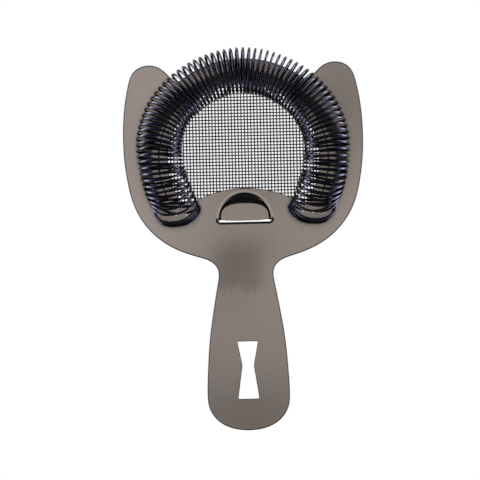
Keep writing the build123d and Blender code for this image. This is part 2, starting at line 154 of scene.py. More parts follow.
# ---------------------------------------------------------------- node helpers
class Tree:
    """Builds shader nodes from short expressions."""

    def __init__(self, owner):
        owner.use_nodes = True
        self.tree = owner.node_tree
        self.tree.nodes.clear()

    def node(self, kind, **props):
        made = self.tree.nodes.new(kind)
        for key, value in props.items():
            setattr(made, key, value)
        return made

    def link(self, source, socket):
        """Connects a socket, or sets it when the source is a plain value."""
        if isinstance(source, (int, float, tuple)):
            socket.default_value = source
        else:
            self.tree.links.new(source, socket)

    def math(self, operation, a, b=0.0, clamp=False):
        made = self.node("ShaderNodeMath", operation=operation, use_clamp=clamp)
        for i, value in enumerate((a, b, 0.0)):
            self.link(value, made.inputs[i])
        return made.outputs[0]

    def add(self, a, b):
        return self.math("ADD", a, b)

    def sub(self, a, b):
        return self.math("SUBTRACT", a, b)

    def mul(self, a, b):
        return self.math("MULTIPLY", a, b)

    def square_sum(self, x, y):
        return self.add(self.mul(x, x), self.mul(y, y))

    def radius(self, x, y):
        return self.math("SQRT", self.square_sum(x, y))

    def ease(self, value, start, end, low=0.0, high=1.0):
        """Smooth step from low to high between start and end."""
        made = self.node("ShaderNodeMapRange", interpolation_type="SMOOTHSTEP")
        values = {"Value": value, "From Min": start, "From Max": end, "To Min": low, "To Max": high}
        for key, source in values.items():
            self.link(source, made.inputs[key])
        return made.outputs[0]

    def band(self, value, low, high, soft):
        """One between low and high (mm), fading to zero over soft on both sides."""
        rise, fall = [
            self.ease(value, edge * MM - soft * MM, edge * MM + soft * MM, before, after)
            for edge, before, after in ((low, 0.0, 1.0), (high, 1.0, 0.0))
        ]
        return self.mul(rise, fall)

    def noise(self, vector, scale, detail, rough):
        """Noise on coordinates stretched by a scale per axis."""
        stretch = self.node("ShaderNodeMapping")
        self.link(vector, stretch.inputs["Vector"])
        stretch.inputs["Scale"].default_value = scale
        made = self.node("ShaderNodeTexNoise")
        self.link(stretch.outputs["Vector"], made.inputs["Vector"])
        made.inputs["Scale"].default_value = 1.0
        made.inputs["Detail"].default_value = detail
        made.inputs["Roughness"].default_value = rough
        return made.outputs["Fac"]

    def swing(self, noise, amount):
        """Noise centred on zero and scaled."""
        return self.mul(self.sub(noise, 0.5), amount)

    def mix(self, fac, a, b):
        made = self.node("ShaderNodeMix", data_type="RGBA")
        for i, source in ((0, fac), (6, a), (7, b)):
            self.link(source, made.inputs[i])
        return made.outputs[2]

    def coordinate(self, name):
        return self.node("ShaderNodeTexCoord").outputs[name]

    def geometry(self, name):
        return self.node("ShaderNodeNewGeometry").outputs[name]

    def split(self, vector):
        made = self.node("ShaderNodeSeparateXYZ")
        self.link(vector, made.inputs[0])
        return made.outputs

    def metal(self, color, roughness):
        made = self.node("ShaderNodeBsdfPrincipled")
        self.link(color, made.inputs["Base Color"])
        made.inputs["Metallic"].default_value = 1.0
        self.link(roughness, made.inputs["Roughness"])
        return made

    def emission(self, color, strength):
        made = self.node("ShaderNodeEmission")
        self.link(color, made.inputs["Color"])
        self.link(strength, made.inputs["Strength"])
        return made.outputs[0]

    def background(self, color):
        made = self.node("ShaderNodeBackground")
        self.link(color, made.inputs["Color"])
        return made.outputs[0]

    def mix_shader(self, fac, a, b):
        made = self.node("ShaderNodeMixShader")
        for i, source in enumerate((fac, a, b)):
            self.link(source, made.inputs[i])
        return made.outputs[0]

    def output(self, shader, kind="ShaderNodeOutputMaterial"):
        self.link(shader, self.node(kind).inputs[0])


def new_material(name):
    material = bpy.data.materials.new(name)
    return material, Tree(material)


# ---------------------------------------------------------------- metals
def tab_painted_highlight(t, x, y, upper, under):
    """Painted highlight: a lighter ring round the curved side of the louvre."""
    dy = t.sub(y, TAB_CY * MM)
    ring = t.mul(
        t.band(t.radius(x, dy), low=10.35, high=11.1, soft=0.25),
        t.band(dy, low=-1.0, high=30, soft=1.0),
    )
    # lighter colour of the painted highlight
    strength = 0.5
    return t.mix(t.mul(t.mul(ring, strength), upper), under, (0.50, 0.45, 0.41, 1.0))


def spring_shade(t, x, y, upper, under):
    """Painted shade: a dark band on the plate under the spring and a dark line along the step of
    the seat.
    """
    distance = t.radius(x, t.sub(y, COIL_CY * MM))
    # the band moves inwards towards the tip of the head
    distance = t.add(distance, t.ease(y, start=0.0, end=33 * MM, low=0.0, high=6.2 * MM))
    shade = t.mul(
        t.band(distance, low=36.0, high=40.8, soft=0.7),
        t.band(y, low=-17.5, high=60, soft=2.0),
    )
    step = t.mul(
        t.band(t.radius(x, y), low=SEAT_R - 0.3, high=SEAT_R + 0.3, soft=0.08),
        t.band(y, low=-15.5, high=60, soft=0.8),
    )
    # the near-black colour below is the painted shade
    shade_level, step_level = 0.88, 0.99
    fac = t.math("MAXIMUM", t.mul(shade, shade_level), t.mul(step, step_level))
    return t.mix(t.mul(fac, upper), under, (0.010, 0.010, 0.013, 1.0))


def neck_painted_dark_reflection(t, x, y, streaks, upper, under):
    """Painted dark reflection: a darker patch across the bend, its lower edge made ragged by the
    brush streaks.
    """
    ragged = t.add(y, t.swing(streaks, 10 * MM))
    patch = t.mul(
        t.band(ragged, low=-50.5, high=60, soft=2.6),
        t.band(y, low=-90, high=-34, soft=6.0),
    )
    patch = t.mul(patch, t.band(x, low=-12.5, high=6.0, soft=4.0))
    # the dark colour below is the painted reflection
    strength = 0.27
    return t.mix(t.mul(t.mul(patch, strength), upper), under, (0.030, 0.030, 0.032, 1.0))


def gunmetal_material():
    """Plating brushed lengthwise, with a painted highlight, painted shade and a painted dark
    reflection on the upper face.
    """
    material, t = new_material("gunmetal_plate")
    place = t.coordinate("Object")
    x, y, _ = t.split(place)
    # brush marks along the handle, broad streaks and faint clouds
    marks = t.noise(place, scale=(2600, 34, 300), detail=3.0, rough=0.6)
    streaks = t.noise(place, scale=(420, 6, 60), detail=2.0, rough=0.6)
    clouds = t.noise(place, scale=(38, 26, 30), detail=3.0, rough=0.55)
    tone = t.add(t.swing(marks, amount=0.10), t.swing(streaks, amount=0.12))
    tone = t.add(tone, t.swing(clouds, amount=0.10))
    light = t.math("ADD", 0.5, tone, clamp=True)
    color = t.mix(light, (0.215, 0.183, 0.163, 1.0), (0.375, 0.331, 0.302, 1.0))
    mean_roughness = 0.26
    wobble = t.add(t.swing(marks, amount=0.10), t.swing(clouds, amount=0.06))
    roughness = t.add(mean_roughness, wobble)
    bump = t.node("ShaderNodeBump")
    bump.inputs["Strength"].default_value = 0.12
    bump.inputs["Distance"].default_value = 0.00002
    t.link(marks, bump.inputs["Height"])
    # the painted highlight, shade and reflection below go on the upper face only
    upper = t.math("GREATER_THAN", t.split(t.coordinate("Normal"))[2], 0.0)
    color = tab_painted_highlight(t, x, y, upper, color)
    color = spring_shade(t, x, y, upper, color)
    color = neck_painted_dark_reflection(t, x, y, streaks, upper, color)
    surface = t.metal(color, roughness)
    surface.inputs["Anisotropic"].default_value = 0.35
    t.link(bump.outputs["Normal"], surface.inputs["Normal"])
    t.output(surface.outputs[0])
    return material


def mottled_metal(name, scale, detail, rough, dark, light, roughness, gain, specular=None):
    """Metal mottled between two colours; the noise, times gain, also adds to its roughness."""
    material, t = new_material(name)
    wear = t.noise(t.coordinate("Object"), (scale, scale, scale), detail, rough)
    color = t.mix(wear, dark, light)
    surface = t.metal(color, t.add(roughness, t.mul(wear, gain)))
    if specular:
        surface.inputs["Specular Tint"].default_value = specular
    t.output(surface.outputs[0])
    return material


# ---------------------------------------------------------------- mesh helpers
class Patch:
    """Collects vertices, vertex normals, faces and material slots of one mesh."""

    def __init__(self):
        self.verts, self.normals, self.faces, self.slots = [], [], [], []

    def add(self, verts, normals, faces, slot, flip):
        """Adds faces whose corners are counted from the first new vertex."""
        base = len(self.verts)
        self.verts += np.asarray(verts, float).reshape(-1, 3).tolist()
        self.normals += np.asarray(normals, float).reshape(-1, 3).tolist()
        for face in faces:
            corners = [base + i for i in face]
            self.faces.append(corners[::-1] if flip else corners)
            self.slots.append(slot)

    def grid(self, rows, normals, slot=PLATE_SLOT, closed=False, flip=False):
        """Joins neighbouring rows by quads; closed joins each row's ends too."""
        count = len(rows[0])
        quads = []
        for i in range(len(rows) - 1):
            for j in range(count if closed else count - 1):
                k = (j + 1) % count
                a, b = i * count, (i + 1) * count
                quads.append((a + j, a + k, b + k, b + j))
        self.add(rows, normals, quads, slot, flip)

    def wire(self, path, radius, sides, round_ends=False):
        """Round wire along a path, with capped ends."""
        base = len(self.verts)
        path = np.asarray(path, float)
        tangents = unit(np.gradient(path, axis=0))
        side = unit(np.cross(tangents[0], [0.0, 0.0, 1.0]))
        frames = []
        for tangent in tangents:
            side = unit(side - tangent * (side @ tangent))
            frames.append((side, np.cross(tangent, side)))
        angles = np.linspace(0, 2 * math.pi, sides, endpoint=False)
        cosines, sines = np.cos(angles)[:, None], np.sin(angles)[:, None]
        # path index and latitude (degrees) on the rounded end, zero along the wire
        stations = [(i, 0) for i in range(len(path))]
        if round_ends:
            latitudes = (30, 55, 80)
            start = [(0, -degrees) for degrees in latitudes[::-1]]
            stations = start + stations + [(-1, degrees) for degrees in latitudes]
        end_length = 0.6  # length of a rounded end, share of the radius
        rings, normals = [], []
        for i, degrees in stations:
            lean, size = math.sin(math.radians(degrees)), math.cos(math.radians(degrees))
            out = cosines * frames[i][0] + sines * frames[i][1]
            centre = path[i] + tangents[i] * radius * end_length * lean
            rings.append(centre + out * (radius * size))
            normals.append(unit(out * size + tangents[i] * lean))
        self.grid(rings, normals, closed=True)
        last = base + (len(rings) - 1) * sides
        self.faces.append([base + i for i in range(sides)][::-1])
        self.faces.append([last + i for i in range(sides)])


def make_object(name, verts, patch, material):
    """Smooth-shaded object from points in mm and the faces and normals of a patch."""
    mesh = bpy.data.meshes.new(name)
    mesh.from_pydata((np.asarray(verts, float) * MM).tolist(), [], patch.faces)
    mesh.update()
    mesh.polygons.foreach_set("use_smooth", [True] * len(mesh.polygons))
    mesh.normals_split_custom_set_from_vertices([tuple(n) for n in patch.normals])
    mesh.materials.append(material)
    obj = bpy.data.objects.new(name, mesh)
    bpy.context.scene.collection.objects.link(obj)
    return obj


def fit_to_box(verts, node, axes=(0, 1, 2)):
    """Points moved and scaled slightly so that they fill the CAD node's box along the axes."""
    verts = np.asarray(verts, float)
    box_lo, box_hi = (np.array(corner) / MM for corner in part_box(node))
    lo, hi = verts.min(0), verts.max(0)
    out = verts.copy()
    for k in axes:
        scale = (box_hi[k] - box_lo[k]) / (hi[k] - lo[k])
        out[:, k] = box_lo[k] + (verts[:, k] - lo[k]) * scale
    return out


def unit(vectors):
    vectors = np.asarray(vectors, float)
    return vectors / np.maximum(np.linalg.norm(vectors, axis=-1, keepdims=True), 1e-12)


def arc_points(radius, angles, centre=(0.0, 0.0)):
    return np.array(centre) + radius * np.stack([np.cos(angles), np.sin(angles)], 1)


def loop_normals(points, closed=True):
    """In-plane unit normals to the left of travel."""
    if closed:
        before, after = points - np.roll(points, 1, 0), np.roll(points, -1, 0) - points
    else:
        steps = points[1:] - points[:-1]
        before, after = np.vstack([steps[:1], steps]), np.vstack([steps, steps[-1:]])
    left_before, left_after = (
        unit(np.stack([-d[:, 1], d[:, 0]], 1)) for d in (before, after)
    )
    return unit(left_before + left_after)


def resample(points, spacing, closed=False):
    """Points a steady distance apart along a dense polyline."""
    if closed:
        points = np.vstack([points, points[:1]])
    steps = np.linalg.norm(np.diff(points, axis=0), axis=1)
    along = np.concatenate([[0], np.cumsum(steps)])
    count = max(2, int(round(along[-1] / spacing)))
    wanted = np.linspace(0, along[-1], count + 1)
    out = np.stack([np.interp(wanted, along, column) for column in points.T], 1)
    return out[:-1] if closed else out


def clamped_spline(points, start_dir, end_dir, per_span=24):
    """Smooth curve through the points, with the given end directions."""
    p = np.asarray(points, float)
    h = np.linalg.norm(np.diff(p, axis=0), axis=1)
    count = len(p)
    system, target = np.zeros((count, count)), np.zeros((count, 2))
    system[0, 0] = system[-1, -1] = 1
    target[0], target[-1] = start_dir, end_dir
    for i in range(1, count - 1):
        before, after = h[i - 1], h[i]
        system[i, i - 1:i + 2] = 1 / before, 2 / before + 2 / after, 1 / after
        target[i] = 3 * ((p[i] - p[i - 1]) / before**2 + (p[i + 1] - p[i]) / after**2)
    slope = np.linalg.solve(system, target)
    out = []
    for i in range(count - 1):
        for k in range(per_span):
            u = k / per_span
            h00, h10 = 2 * u**3 - 3 * u**2 + 1, u**3 - 2 * u**2 + u
            h01, h11 = -2 * u**3 + 3 * u**2, u**3 - u**2
            out.append(h00 * p[i] + h10 * h[i] * slope[i]
                       + h01 * p[i + 1] + h11 * h[i] * slope[i + 1])
    out.append(p[-1])
    return np.array(out)


def smooth01(t):
    t = np.clip(t, 0, 1)
    return t * t * (3 - 2 * t)


def pressed_step(distance):
    """One inside a pressed shape, easing to zero across its outline."""
    return smooth01((STEP_HALF - distance) / (2 * STEP_HALF))


# ---------------------------------------------------------------- heights of the sheet
def bend_z(y, depth):
    """Height of the sheet at a depth below its upper face, following the handle's bend."""
    angle = math.radians(BEND_DEG)
    face_r = BEND_LEN / angle
    r = face_r - depth
    y = np.asarray(y, float)
    over = np.clip((BEND_Y - y) / r, 0, math.sin(angle))
    z_arc = -face_r + r * np.sqrt(1 - over**2)
    y_end = BEND_Y - r * math.sin(angle)
    return z_arc - np.clip(y_end - y, 0, None) * math.tan(angle)


def seat_distance(x, y):
    """Signed distance outside the pressed seat, in plan."""
    end = math.radians(SEAT_END_DEG)
    side = -(-np.sin(end) * np.abs(x) + np.cos(end) * y)
    return np.maximum(np.hypot(x, y) - SEAT_R, side)


def recess_distance(x, y):
    """Signed distance outside the recess for the mesh, in plan."""
    return np.maximum(np.hypot(x, y) - RECESS_R, RECESS_LIP_R - np.hypot(x, y - LIP_CY))


def z_upper(x, y):
    return bend_z(y, 0) + SEAT_RISE * pressed_step(seat_distance(x, y))


def z_lower(x, y):
    return bend_z(y, SHEET_T) + MESH_RECESS * pressed_step(recess_distance(x, y))


def height_normals(height, x, y, up):
    h = 0.01
    slope_x = (height(x + h, y) - height(x - h, y)) / (2 * h)
    slope_y = (height(x, y + h) - height(x, y - h)) / (2 * h)
    return unit(np.stack([-slope_x * up, -slope_y * up, np.full_like(slope_x, up)], 1))


# ---------------------------------------------------------------- outlines of the plate
def outline_loop():
    """Outer edge, clockwise from the tip of the head."""
    right = clamped_spline(HALF_OUTLINE, OUTLINE_START_DIR, OUTLINE_END_DIR)
    corner = np.array(CORNER)
    along = unit(np.array(HALF_OUTLINE[0]) - corner)
    angle = math.atan2(corner[1], corner[0]) + CORNER_EASE / HEAD_ARC_R
    arc_end = HEAD_ARC_R * np.array([math.cos(angle), math.sin(angle)])
    arc_dir = np.array([math.sin(angle), -math.cos(angle)])
    side_start = corner + CORNER_EASE * along
    u = np.linspace(0, 1, 13)[:, None]
    eased = ((1 - u) ** 3 * arc_end
             + 3 * (1 - u) ** 2 * u * (arc_end + CORNER_PULL * arc_dir)
             + 3 * (1 - u) * u**2 * (side_start - CORNER_PULL * along)
             + u**3 * side_start)
    arc = arc_points(HEAD_ARC_R, np.linspace(math.pi / 2, angle, 60)[:-1])
    half = np.vstack([arc, eased, right[1:]])
    left = half[1:-1][::-1] * np.array([-1.0, 1.0])
    return resample(np.vstack([half, left]), OUTLINE_SPACING, closed=True)


def lens_arcs(radius, lip_radius, round_count, lip_count):
    """The round side, right to left, and the lip, left to right, of the opening's shape."""
    corner_y = (lip_radius**2 - radius**2 - LIP_CY**2) / (-2 * LIP_CY)
    corner_x = math.sqrt(radius**2 - corner_y**2)
    start = math.atan2(corner_y, corner_x)
    lip_end = math.atan2(corner_y - LIP_CY, corner_x)
    return (
        arc_points(radius, np.linspace(start, math.pi - start, round_count)),
        arc_points(lip_radius, np.linspace(math.pi - lip_end, lip_end, lip_count), (0, LIP_CY)),
    )


def opening_loop():
    round_side, lip = lens_arcs(OPENING_R, LIP_ARC_R, 320, 110)
    return np.vstack([round_side, lip[1:-1]])


def rounded_polygon(points, radius, steps=4):
    points = np.asarray(points, float)
    out = []
    for i, p in enumerate(points):
        start = p + unit(points[i - 1] - p) * radius
        end = p + unit(points[(i + 1) % len(points)] - p) * radius
        for k in range(steps + 1):
            u = k / steps
            out.append((1 - u) ** 2 * start + 2 * u * (1 - u) * p + u**2 * end)
    return np.array(out)


def slot_loop():
    left = [(-half, y) for half, y in SLOT]
    loop = rounded_polygon(left + SLOT[::-1], SLOT_CORNER)
    return resample(loop, SLOT_SPACING, closed=True)


def hole_loops():
    """Two stitch holes under each end loop of the coil."""
    angles = np.linspace(0, 2 * math.pi, 24, endpoint=False)
    loops = []
    for turn in (0, COIL_TURNS - 1):
        for offset in (HOLE_OUT, HOLE_IN):
            x, y, _ = coil_point(turn + loop_phase(offset))
            loops.append(arc_points(WIRE_R + HOLE_CLEARANCE, angles, (x, y)))
    return loops


def slit_edge():
    """Edge of the sheet facing the louvre's mouth, left to right, with round end reliefs."""
    left = [(-TAB_R, TAB_CY - 0.24)]
    for k in range(13):
        angle = math.radians(RELIEF_START_DEG + RELIEF_SWEEP_DEG * k / 12)
        left.append((RELIEF_X + RELIEF_R * math.cos(angle), RELIEF_Y + RELIEF_R * math.sin(angle)))
    left += [(-TAB_R, -24.1), (-9.94, -24.22), (-9.8, SLIT_Y)]
    middle = [(x, SLIT_Y) for x in np.linspace(-9.2, 9.2, 24)]
    right = [(-x, y) for x, y in left[::-1]]
    return np.array(left + middle + right)


def seat_lines():
    """Lines that follow the step of the seat."""
    end = math.radians(SEAT_END_DEG)
    outward = np.array([math.cos(end), math.sin(end)])
    across = np.array([math.sin(end), -math.cos(end)])
    lines = []
    for offset in (-STEP_HALF, -0.04, 0.04, STEP_HALF):
        r = SEAT_R + offset
        start = end - offset / r
        arc = arc_points(r, np.linspace(start, math.pi - start, 260))
        right = np.linspace(OPENING_R + 0.35, r, 8)[:-1][:, None] * outward + across * offset
        lines.append(np.vstack([right, arc, right[::-1] * [-1, 1]]))
    return lines


def recess_lines():
    """Lines that follow the step of the recess for the mesh."""
    return [
        np.vstack(lens_arcs(RECESS_R + offset, RECESS_LIP_R - offset, 260, 90))
        for offset in (-STEP_HALF, STEP_HALF)
    ]


# ---------------------------------------------------------------- surfaces of the plate
def rim(patch, loop, width, height=None, closed=True, steps=4):
    """Rounded cut edge along a loop with material to the right of travel.

    Returns the ring at which the upper and lower faces stop."""
    height = height or width
    left = loop_normals(loop, closed)
    ring = loop - left * width
    rows, normals = [], []
    for up, fn, order in ((1, z_upper, range(steps + 1)), (-1, z_lower, range(steps, -1, -1))):
        z = fn(ring[:, 0], ring[:, 1])
        for k in order:
            angle = math.pi / 2 * k / steps
            sine, cosine = math.sin(angle), math.cos(angle)
            p = loop - left * width * (1 - sine)
            rows.append(np.column_stack([p, z - up * height * (1 - cosine)]))
            tilt = np.full(len(left), up * width * cosine)
            normals.append(unit(np.column_stack([left * height * sine, tilt])))
    patch.grid(rows, normals, EDGE_SLOT, closed=closed)
    return ring


def inside(points, loops):
    """Even-odd test of points against all the loops together."""
    x, y = points[:, 0], points[:, 1]
    odd = np.zeros(len(points), bool)
    for loop in loops:
        for (x0, y0), (x1, y1) in zip(loop, np.roll(loop, -1, 0)):
            if y0 == y1:
                continue
            hit = (y0 > y) != (y1 > y)
            if hit.any():
                odd ^= hit & (x < (x1 - x0) * (y - y0) / (y1 - y0) + x0)
    return odd


def fill(patch, loops, lines, height, up, spacing):
    """Fills between loops with a fine mesh lying on the height function."""
    lo, hi = loops[0].min(0), loops[0].max(0)
    grid_x, grid_y = np.meshgrid(
        np.arange(lo[0], hi[0], spacing), np.arange(lo[1], hi[1], spacing * 0.866))
    grid_x = grid_x + (np.arange(grid_x.shape[0]) % 2)[:, None] * spacing / 2
    grid = np.stack([grid_x.ravel(), grid_y.ravel()], 1)
    grid = grid[inside(grid, loops)]
    # keep clear of the loops and lines; done in chunks to save memory
    fixed = np.vstack(list(loops) + list(lines))
    keep = np.ones(len(grid), bool)
    chunk = 400
    for i in range(0, len(grid), chunk):
        near = ((grid[i:i + chunk, None, :] - fixed[None, :, :]) ** 2).sum(2).min(1)
        keep[i:i + chunk] = near > (spacing * 0.5) ** 2
    grid = grid[keep]
    verts, edges = [], []
    for loop in loops:
        base = len(verts)
        verts += loop.tolist()
        edges += [(base + i, base + (i + 1) % len(loop)) for i in range(len(loop))]
    for line in lines:
        base = len(verts)
        verts += line.tolist()
        edges += [(base + i, base + i + 1) for i in range(len(line) - 1)]
    verts += grid.tolist()
    result = delaunay_2d_cdt([Vector(v) for v in verts], edges, [], 0, 1e-6)
    plan = np.array([tuple(v) for v in result[0]])
    triangles = np.array([list(f) for f in result[2]])
    triangles = triangles[inside(plan[triangles].mean(1), loops)]
    x, y = plan[:, 0], plan[:, 1]
    patch.add(np.column_stack([plan, height(x, y)]), height_normals(height, x, y, up),
              triangles.tolist(), PLATE_SLOT, flip=up < 0)


def ramp_rows(outer, inner, z0, z1, shoulder, foot, steps=14):
    """Smooth wall from an outer curve at z0 to an inner curve at z1.

    It starts a shoulder's width outside the outer curve and ends a foot's width past
    the inner one."""
    gap = inner - outer
    width = np.linalg.norm(gap, axis=1, keepdims=True)
    inward = np.where(width > 0.3, unit(gap), loop_normals(outer, closed=False))
    start, end = outer - inward * shoulder, inner + inward * foot
    start_pull, end_pull = shoulder + 0.3 * width, foot + 0.3 * width
    rows = []
    for i in range(steps + 1):
        u = i / steps
        c0, c1, c2, c3 = (1 - u) ** 3, 3 * (1 - u) ** 2 * u, 3 * (1 - u) * u**2, u**3
        xy = (c0 * start + c1 * (start + inward * start_pull)
              + c2 * (end - inward * end_pull) + c3 * end)
        z = (c0 + c1) * z0 + (c2 + c3) * z1
        rows.append(np.column_stack([xy, np.full(len(xy), z)]))
    return np.array(rows)


def grid_normals(rows, up):
    normals = unit(np.cross(np.gradient(rows, axis=0), np.gradient(rows, axis=1)))
    return normals * np.where((normals[..., 2:3] * up) < 0, -1.0, 1.0)


def d_outline(end_x, half_width, height, power, steps=72):
    """D-shaped curve, right to left, ending in a point on the tab's edge at each side."""
    angles = np.linspace(0, math.pi, steps + 1)
    c, s = np.cos(angles), np.sin(angles)
    x = half_width * np.sign(c) * np.abs(c) ** (2 / power)
    y = TAB_CY + height * np.maximum(s, 0) ** (2 / power)
    return np.vstack([[[end_x, TAB_EDGE_Y]], np.stack([x, y], 1), [[-end_x, TAB_EDGE_Y]]])


def tab_face(patch, outer, inner, z_sheet, shoulder, foot, end_y, up, slot):
    """Ramp and floor of one face of the louvre.

    Returns the plan curve at which the sheet stops, and the border of the cut end."""
    z_floor = z_sheet - TAB_DEPTH
    rows = ramp_rows(outer, inner, z_sheet, z_floor, shoulder, foot)
    rows[:, [0, -1], 1] = end_y
    normals = grid_normals(rows, up)
    normals[[0, -1]] = (0, 0, up)
    patch.grid(rows, normals, slot, flip=up < 0)
    low = rows[-1]
    level = np.full(len(low), z_floor)
    floor = [
        np.column_stack([low[:, 0], low[:, 1] * (1 - u) + TAB_CUT_Y * u, level])
        for u in np.linspace(0, 1, 6)
    ]
    patch.grid(floor, np.tile([0.0, 0.0, up], (6, len(low), 1)), flip=up < 0)
    border = np.vstack([rows[:, 0], floor[-1][1:-1], rows[::-1, -1]])
    return rows[0][1:-1, :2], border


def louvre(patch):
    """Pressed tab: upper face, lower face and the cut end between them."""
    upper_arc, upper_border = tab_face(
        patch,
        outer=d_outline(TAB_R, TAB_R, TAB_R - 0.05, power=2.0),
        inner=d_outline(TAB_R * 0.96, TAB_R - 0.4, 6.2, power=2.6),
        z_sheet=0.0, shoulder=0.28, foot=0.25, end_y=TAB_EDGE_Y, up=1, slot=EDGE_SLOT)
    lower_arc, lower_border = tab_face(
        patch,
        outer=d_outline(TAB_R + TAB_WALL, TAB_R + TAB_WALL, TAB_R + 0.05, power=2.0),
        inner=d_outline(TAB_R + 0.7, TAB_R - 0.25 + TAB_WALL, 6.75, power=2.6),
        z_sheet=-SHEET_T, shoulder=0.2, foot=0.35, end_y=TAB_CUT_Y, up=-1, slot=PLATE_SLOT)
    # cut end: a U-shaped band with a rounded face
    middle, half = (upper_border + lower_border) / 2, (upper_border - lower_border) / 2
    across = unit(upper_border - lower_border)
    rows, normals = [], []
    for k in range(9):
        angle = math.pi * k / 8
        row = middle + half * math.cos(angle)
        row[:, 1] = TAB_CUT_Y - TAB_CUT_BULGE * math.sin(angle) ** 0.55
        rows.append(row)
        normal = across * math.cos(angle)
        normal[:, 1] -= math.sin(angle)
        normals.append(unit(normal))
    patch.grid(rows, normals)
    return upper_arc, lower_arc


def build_plate(material, edge_material):
    patch = Patch()
    rings = [
        rim(patch, outline_loop(), OUTLINE_ROUND),
        rim(patch, opening_loop(), OPENING_ROUND),
        rim(patch, slot_loop(), SLOT_ROUND),
    ]
    rings += [rim(patch, loop, HOLE_ROUND) for loop in hole_loops()]
    slit = rim(patch, slit_edge(), SLIT_ROUND_W, SLIT_ROUND_H, closed=False)
    upper_arc, lower_arc = louvre(patch)
    mouth_x = TAB_R + TAB_WALL
    upper_mouth = np.vstack([upper_arc, slit])
    lower_mouth = np.vstack(
        [lower_arc, [[-mouth_x, TAB_EDGE_Y]], slit[4:-4], [[mouth_x, TAB_EDGE_Y]]])
    fill(patch, rings + [upper_mouth], seat_lines(), z_upper, up=1, spacing=1.3)
    fill(patch, rings + [lower_mouth], recess_lines(), z_lower, up=-1, spacing=1.6)
    obj = make_object("plate", fit_to_box(patch.verts, "strainer_plate"), patch, material)
    obj.data.materials.append(edge_material)
    obj.data.polygons.foreach_set("material_index", patch.slots)
    return obj


# ---------------------------------------------------------------- coil
def eased_lookup(stations, at):
    """Value eased between stations; at lies within the table."""
    for (a, value_a), (b, value_b) in zip(stations, stations[1:]):
        if at <= b:
            f = (at - a) / (b - a)
            return value_a + (value_b - value_a) * f * f * (3 - 2 * f)


def travelled(turns, steps=40):
    """Advance along the arc, in full pitches, over the given turns from an end."""
    total = 0.0
    for i in range(steps):
        at = (i + 0.5) / steps * turns
        total += (1 - CLOSING * math.exp(-((at / CLOSED_TURNS) ** 4))) * turns / steps
    return total


def coil_degrees(from_left, from_right):
    """Angle round the head, by turns from the left and right ends."""
    total = travelled(COIL_TURNS)
    if from_left < 0:
        reached = from_left * TAIL_RATE
    elif from_right < 0:
        reached = total - from_right * TAIL_RATE
    elif from_left < END_ZONE:
        reached = travelled(from_left)
    elif from_right < END_ZONE:
        reached = total - travelled(from_right)
    else:
        a, b = travelled(END_ZONE), total - travelled(END_ZONE)
        reached = a + (b - a) * (from_left - END_ZONE) / (COIL_TURNS - 2 * END_ZONE)
    return COIL_START_DEG + (COIL_END_DEG - COIL_START_DEG) * reached / total


def coil_point(turn):
    """Centre of the wire after a number of turns from the left end loop."""
    from_left, from_right = turn - TAIL_TURNS, COIL_TURNS + TAIL_TURNS - turn
    degrees = coil_degrees(from_left, from_right)
    on_left = from_left < from_right
    from_end = max(min(from_left, from_right), 0.0)
    lag = eased_lookup(TURN_LAG, from_end)
    swung = math.radians(degrees - lag if on_left else degrees + lag)
    axis_r = eased_lookup(ENVELOPE, degrees) - COIL_R - WIRE_R
    axis_x = axis_r * math.cos(math.radians(degrees))
    axis_y = COIL_CY + axis_r * math.sin(math.radians(degrees))
    # plan directions: outward along the turn, and towards the nearer end
    out_x, out_y = math.cos(swung), math.sin(swung)
    end_x, end_y = (-out_y, out_x) if on_left else (out_y, -out_x)

    end_weight = 1 / (1 + (from_end / 2.7) ** 4.5)   # one at the end, zero in the body
    upper_lean = eased_lookup(UPPER_LEAN, from_end)
    if not on_left and upper_lean < 0:
        upper_lean *= 1.18
    lower_lean = 0.36 * math.exp(-((from_end / 0.9) ** 2))
    body_top = COIL_LOW_Z + 2 * COIL_R
    top = body_top - (body_top - END_TOP_Z) * end_weight

    phase = 2 * math.pi * turn
    sine, cosine = math.sin(phase), math.cos(phase)
    if sine >= 0 and upper_lean < 0 and cosine < 0:
        shift = COIL_R * upper_lean * (sine**1.8 if on_left else sine)
    elif sine >= 0:
        shift = COIL_R * upper_lean * (0.75 * sine + 0.25 * sine * sine)
    else:
        lean = 0.75 * upper_lean * sine * (1 + sine) ** 2
        shift = COIL_R * (lean + lower_lean * sine * sine)
    out = COIL_R * cosine
    if cosine < 0:
        # the inner half reaches further in, less so at the ends
        out += 1.1 * cosine * (1 - 0.7 * end_weight)
    if sine > 0 and cosine > 0:
        # the end turns bulge at their upper outer quarter
        bulge = end_weight * 2 * sine * cosine
        out += 1.3 * bulge
        shift += 0.8 * bulge
    z = (top + COIL_LOW_Z) / 2 + (top - COIL_LOW_Z) / 2 * sine
    return (axis_x + out * out_x + shift * end_x, axis_y + out * out_y + shift * end_y, z)


def loop_phase(offset):
    """Share of a turn at which its lower half is this far outward from the coil's axis."""
    return (2 * math.pi - math.acos(offset / COIL_R)) / (2 * math.pi)


def stitch(turn):
    """Wire down through the inner hole, along the underside and up the outer hole."""
    r = STITCH_BEND_R
    top = COIL_LOW_Z + 0.3
    low = -SHEET_T - 0.05 - WIRE_R
    q = r * (1 - math.sin(math.radians(45)))
    # distance past the hole towards the other one, z
    descent = [(-r, top), (-q, top - q), (0, top - r), (0, low + r), (q, low + q), (r, low)]
    profile = [(HOLE_IN + past, z) for past, z in descent]
    profile += [((HOLE_IN + HOLE_OUT) / 2, low)]
    profile += [(HOLE_OUT - past, z) for past, z in descent[::-1]]
    return [(*coil_point(turn + loop_phase(offset))[:2], z) for offset, z in profile]


def between(p, q, start, end, at):
    """Point on the line that passes p at start and q at end."""
    return (end - at) / (end - start) * p + (at - start) / (end - start) * q


